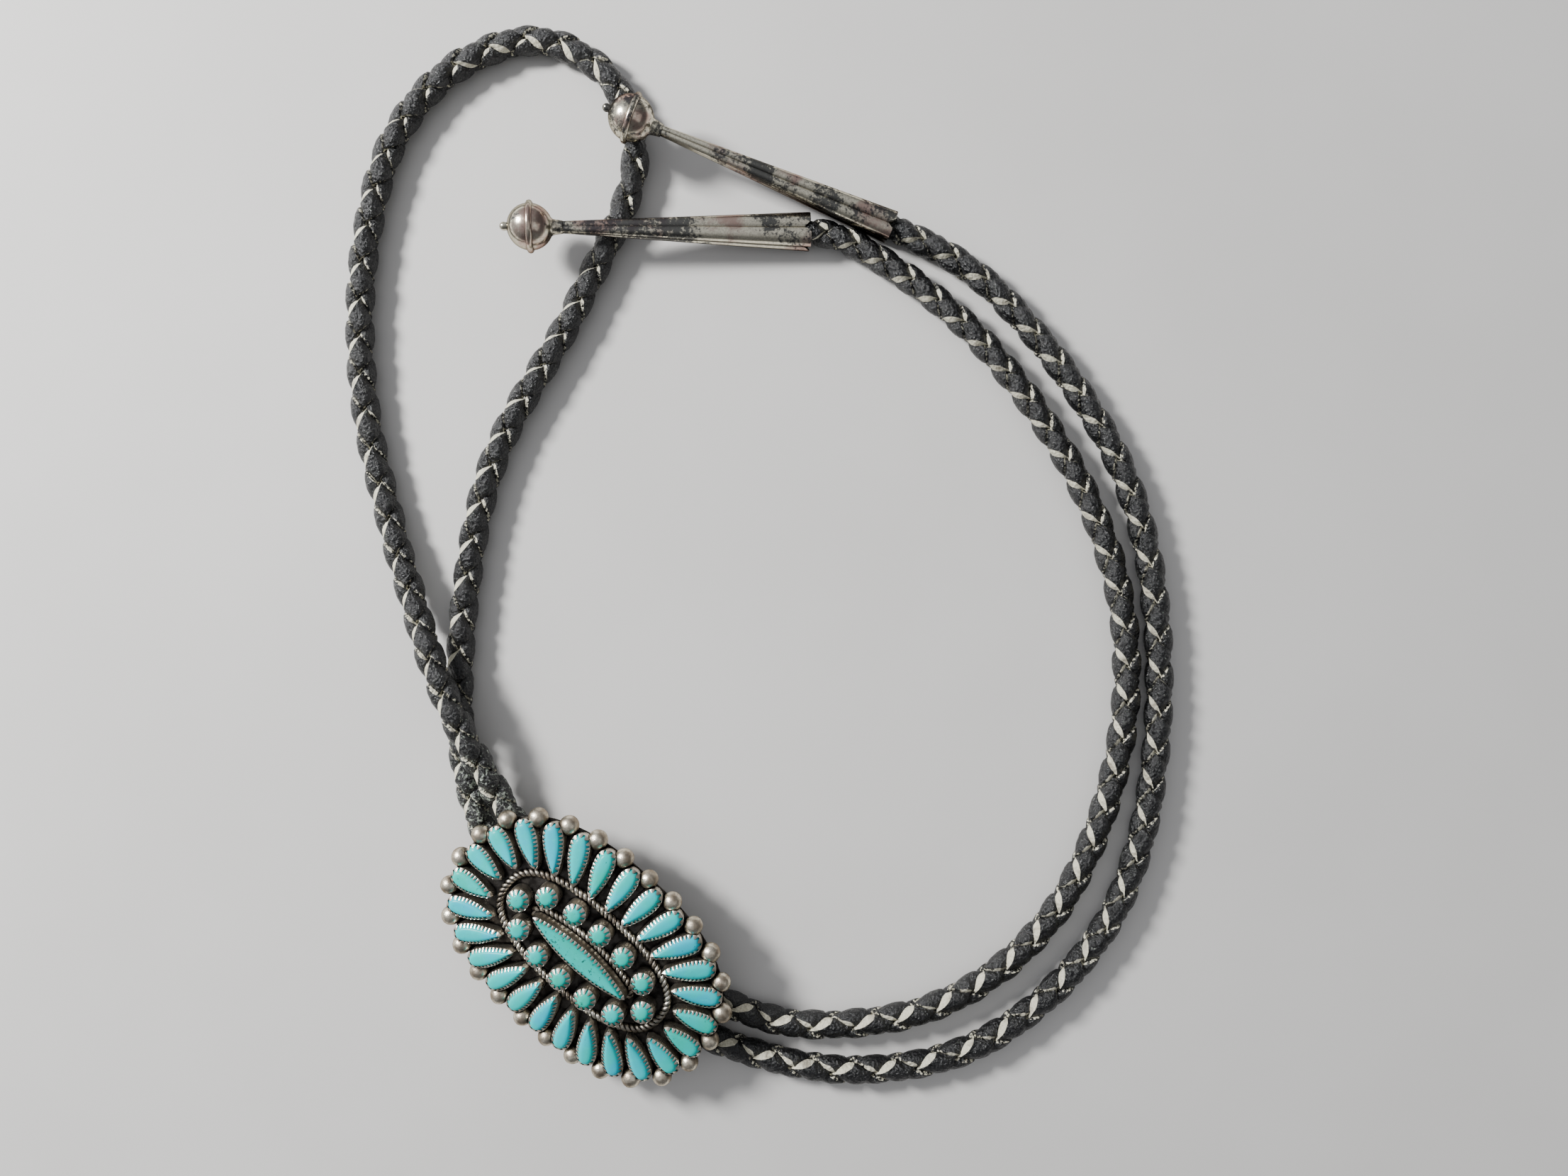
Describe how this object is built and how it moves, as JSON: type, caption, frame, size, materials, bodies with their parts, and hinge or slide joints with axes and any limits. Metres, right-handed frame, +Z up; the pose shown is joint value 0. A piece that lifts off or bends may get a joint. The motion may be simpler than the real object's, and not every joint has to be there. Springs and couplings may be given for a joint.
{
  "type": "bolo tie",
  "caption": "Bolo tie: a braided leather cord with fluted silver ball tips, and a sliding oval silver cluster set with turquoise stones and edged with silver balls.",
  "frame": {"origin": "on the surface the tie lies on, under the middle of the box round its hard pieces: the slide, its clasp and the two tips", "axes": "+Z up, out of the surface, the way the slide faces; +Y towards the neck loop and the tips; the slide is at -Y and the long right-hand side of the cord at +X"},
  "size_m": [0.1554, 0.1981, 0.015],
  "materials": {
    "silver": "tarnished silver: pale and worn bright on raised edges, grey to black in recesses",
    "turquoise": "polished turquoise, from sky blue to greenish, with faint darker specks",
    "leather": "black grained leather laces with a soft gloss and pale raw cut edges"
  },
  "bodies": {
    "root": {"slide_setting": "silver", "petal_stone_01": "turquoise", "petal_stone_02": "turquoise", "petal_stone_03": "turquoise", "petal_stone_04": "turquoise", "petal_stone_05": "turquoise", "petal_stone_06": "turquoise", "petal_stone_07": "turquoise", "petal_stone_08": "turquoise", "petal_stone_09": "turquoise", "petal_stone_10": "turquoise", "petal_stone_11": "turquoise", "petal_stone_12": "turquoise", "petal_stone_13": "turquoise", "petal_stone_14": "turquoise", "petal_stone_15": "turquoise", "petal_stone_16": "turquoise", "petal_stone_17": "turquoise", "petal_stone_18": "turquoise", "petal_stone_19": "turquoise", "petal_stone_20": "turquoise", "petal_stone_21": "turquoise", "petal_stone_22": "turquoise", "petal_stone_23": "turquoise", "petal_stone_24": "turquoise", "petal_stone_25": "turquoise", "petal_stone_26": "turquoise", "round_stone_01": "turquoise", "round_stone_02": "turquoise", "round_stone_03": "turquoise", "round_stone_04": "turquoise", "round_stone_05": "turquoise", "round_stone_06": "turquoise", "round_stone_07": "turquoise", "round_stone_08": "turquoise", "round_stone_09": "turquoise", "round_stone_10": "turquoise", "round_stone_11": "turquoise", "round_stone_12": "turquoise", "centre_stone": "turquoise", "cord_clasp": "silver", "braided_cord": "leather", "cord_tip_upper": "silver", "cord_tip_lower": "silver"}
  },
  "joints": []
}
